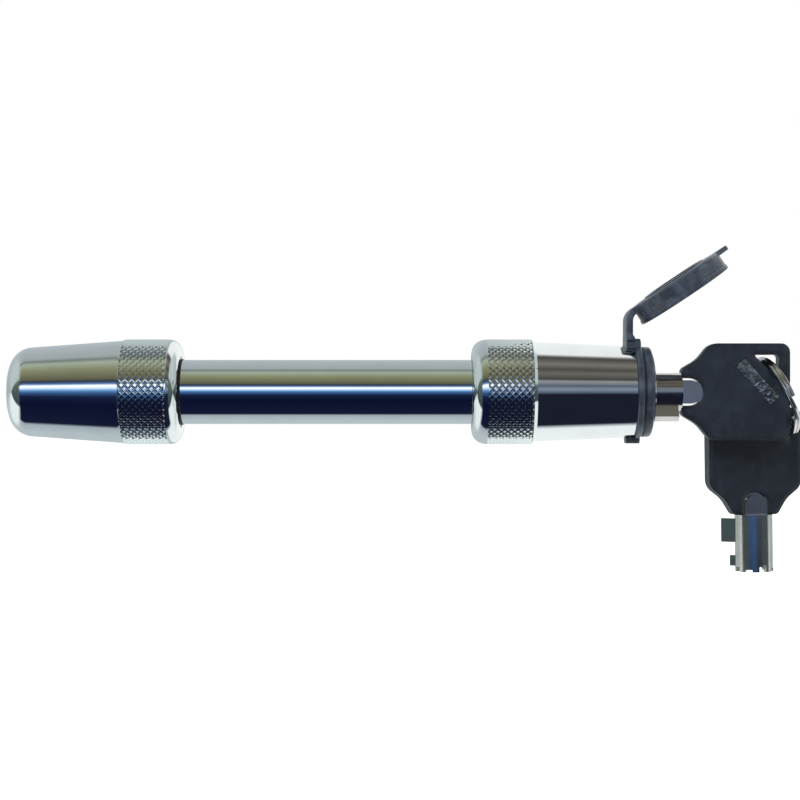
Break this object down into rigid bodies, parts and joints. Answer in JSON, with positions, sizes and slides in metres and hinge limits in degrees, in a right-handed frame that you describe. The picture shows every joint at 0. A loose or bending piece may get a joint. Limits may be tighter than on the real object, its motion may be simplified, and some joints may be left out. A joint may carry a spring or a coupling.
{
  "type": "hitch pin lock",
  "caption": "Plated receiver hitch pin with a knurled fixed head and a knurled slide-off lock head, hinged rubber dust cap, tubular key in the lock and a spare on a split ring.",
  "frame": {"origin": "on the pin's axis at the middle of the usable span between the fixed head's seal and the lock head's face", "axes": "+X along the pin towards the lock head and the key, +Z the side the dust cap opens on, +Y away from the side the key's lug leans to"},
  "size_m": [0.1975, 0.0281, 0.0818],
  "materials": {
    "chrome_plate": "bright nickel-chrome plate over machined steel, diamond knurl on the two bands",
    "bare_steel": "turned steel, lightly oiled, inside the lock head",
    "cam_steel": "stamped and hardened steel",
    "key_steel": "nickel-plated key tube",
    "brass_parts": "turned brass",
    "spring_steel": "drawn spring wire",
    "cap_rubber": "moulded black rubber, satin",
    "seal_rubber": "black nitrile rubber",
    "key_plastic": "moulded black plastic with a fine satin grain",
    "badge_foil": "blank embossed foil plate",
    "ring_steel": "bright wound split-ring wire"
  },
  "bodies": {
    "pin": {"shackle_pin": "chrome_plate", "fixed_head": "chrome_plate", "head_dowel": "bare_steel", "fixed_head_o_ring": "seal_rubber"},
    "head_seal": {"lock_head_o_ring": "seal_rubber"},
    "lock_head": {"lock_body": "chrome_plate", "mouth_bush": "chrome_plate", "dog_carrier": "bare_steel", "cylinder_shell": "chrome_plate", "pin_block": "brass_parts", "block_pin": "bare_steel", "driver_pins": "brass_parts", "pin_springs": "spring_steel", "cylinder_retaining_pin": "bare_steel", "dust_cap_collar": "cap_rubber", "dust_cap_strap": "cap_rubber"},
    "lock_core": {"lock_spindle": "chrome_plate", "key_pins": "brass_parts", "cam_disc": "cam_steel", "cam_screw": "bare_steel"},
    "upper_dog": {"upper_dog": "cam_steel", "upper_dog_peg": "bare_steel"},
    "lower_dog": {"lower_dog": "cam_steel", "lower_dog_peg": "bare_steel"},
    "dust_cap": {"dust_cap": "cap_rubber"},
    "key_a": {"key_a_bow": "key_plastic", "key_a_shank": "key_steel", "key_a_badge": "badge_foil"},
    "key_ring": {"key_ring": "ring_steel"},
    "key_b": {"key_b_bow": "key_plastic", "key_b_shank": "key_steel", "key_b_badge": "badge_foil"}
  },
  "joints": [
    {"name": "head_slide", "type": "slide", "parent": "pin", "child": "head_seal", "axis": [1, 0, 0], "range_m": [0, 0.1]},
    {"name": "head_spin", "type": "hinge", "parent": "head_seal", "child": "lock_head", "pos_m": [0, 0, 0], "axis": [1, 0, 0], "continuous": true},
    {"name": "key_turn", "type": "hinge", "parent": "lock_head", "child": "lock_core", "pos_m": [0, 0, 0], "axis": [1, 0, 0], "range_deg": [0, 90]},
    {"name": "upper_dog_slide", "type": "slide", "parent": "lock_head", "child": "upper_dog", "axis": [0, 0, -1], "range_m": [0, 0.0016]},
    {"name": "lower_dog_slide", "type": "slide", "parent": "lock_head", "child": "lower_dog", "axis": [0, 0, 1], "range_m": [0, 0.0016]},
    {"name": "key_pull", "type": "slide", "parent": "lock_core", "child": "key_a", "axis": [1, 0, 0], "range_m": [0, 0.09]},
    {"name": "cap_hinge", "type": "hinge", "parent": "lock_head", "child": "dust_cap", "pos_m": [0.0767, 0, 0.01483], "axis": [0, 1, 0], "range_deg": [0, 124.5], "deforming": ["dust_cap_strap"]},
    {"name": "ring_swing", "type": "hinge", "parent": "key_a", "child": "key_ring", "pos_m": [0.10897, 0, 0.00715], "axis": [-0.2195, 0.8383, 0.4991], "range_deg": [-40, 0]},
    {"name": "key_b_swing", "type": "hinge", "parent": "key_ring", "child": "key_b", "pos_m": [0.11429, 0.00885, -0.00963], "axis": [-0.2506, 0.9323, 0.2607], "range_deg": [-35, 8]}
  ],
  "couplings": [
    {"joint": "upper_dog_slide", "follows": "key_turn", "m_per_rad": 0.00098676},
    {"joint": "lower_dog_slide", "follows": "key_turn", "m_per_rad": 0.00098676},
    {"joint": "cap_hinge", "follows": "key_pull", "rad_per_m": 24.047}
  ]
}
